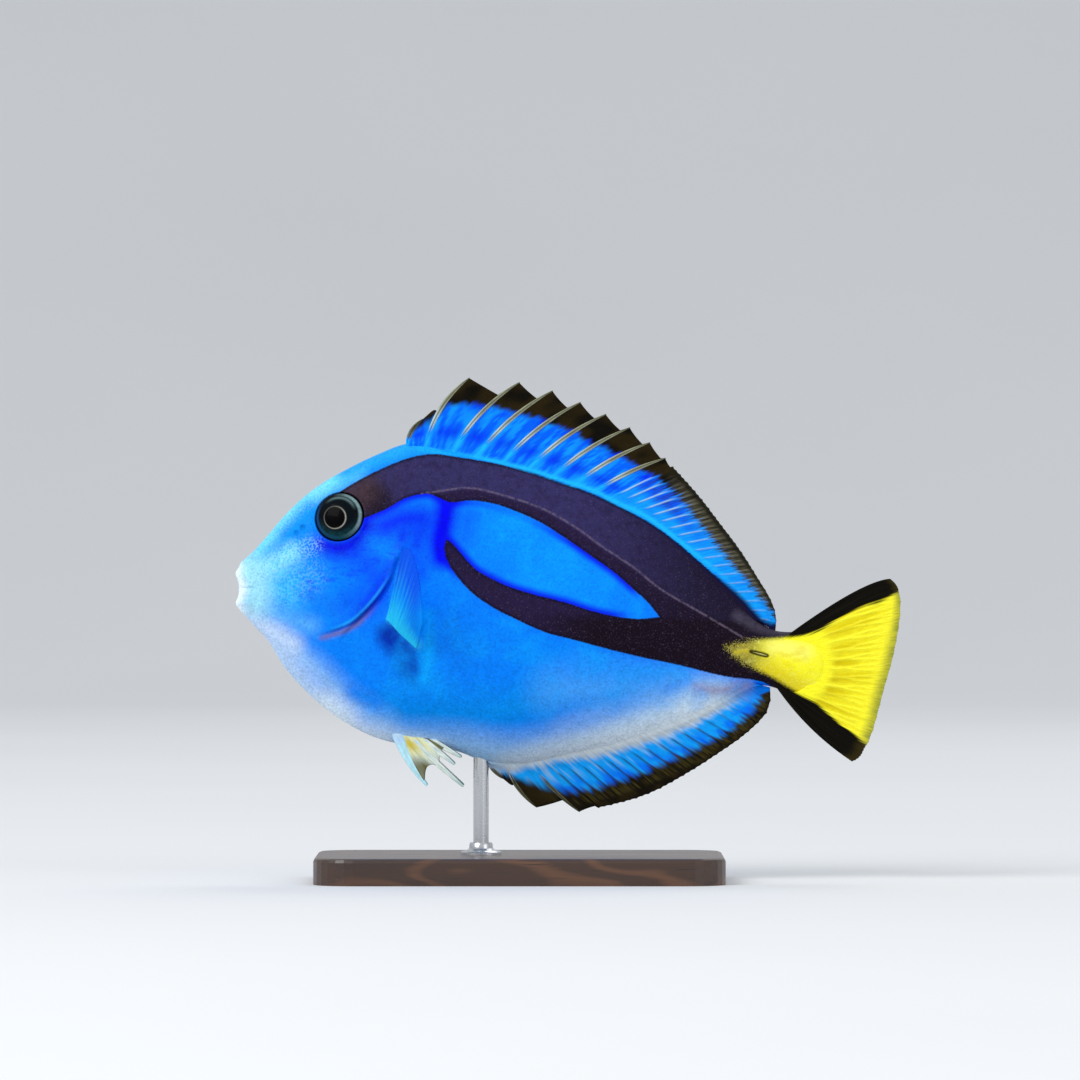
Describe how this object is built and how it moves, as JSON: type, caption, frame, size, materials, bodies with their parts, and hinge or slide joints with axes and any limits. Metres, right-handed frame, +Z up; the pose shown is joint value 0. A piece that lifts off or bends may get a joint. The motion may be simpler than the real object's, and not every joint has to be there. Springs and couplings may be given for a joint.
{
  "type": "model of a regal blue tang on a stand",
  "caption": "Life-size model of a regal blue tang, a deep-bodied reef fish swimming with its fins raised, held by a rod over a flat base, for display",
  "frame": {"origin": "under the middle of the whole length, on the underside of the stand's base", "axes": "+Z up, the fish faces -X with its left side towards -Y, and its two sides are alike about Y = 0"},
  "size_m": [0.15, 0.059, 0.1134],
  "materials": {
    "blue_skin": "satin skin with fine scales, blue with a black band",
    "yellow_skin": "satin skin, yellow with black edges",
    "blue_fin": "thin rayed membrane, blue with a dark margin",
    "yellow_fin": "thin rayed membrane, yellow with black edges",
    "pale_fin": "pale rayed membrane",
    "eye": "wet gloss, near black",
    "stand_wood": "dark stained, satin",
    "stand_steel": "fine brushed"
  },
  "bodies": {
    "root": {"head": "blue_skin", "trunk": "blue_skin", "tail_stem": "yellow_skin", "eye_left": "eye", "eye_right": "eye", "dorsal_fin": "blue_fin", "anal_fin": "blue_fin", "tail_fin": "yellow_fin", "pectoral_fin_left": "blue_fin", "pectoral_fin_right": "blue_fin", "pelvic_fin_left": "pale_fin", "pelvic_fin_right": "pale_fin", "stand_base": "stand_wood", "stand_rod": "stand_steel"}
  },
  "joints": []
}
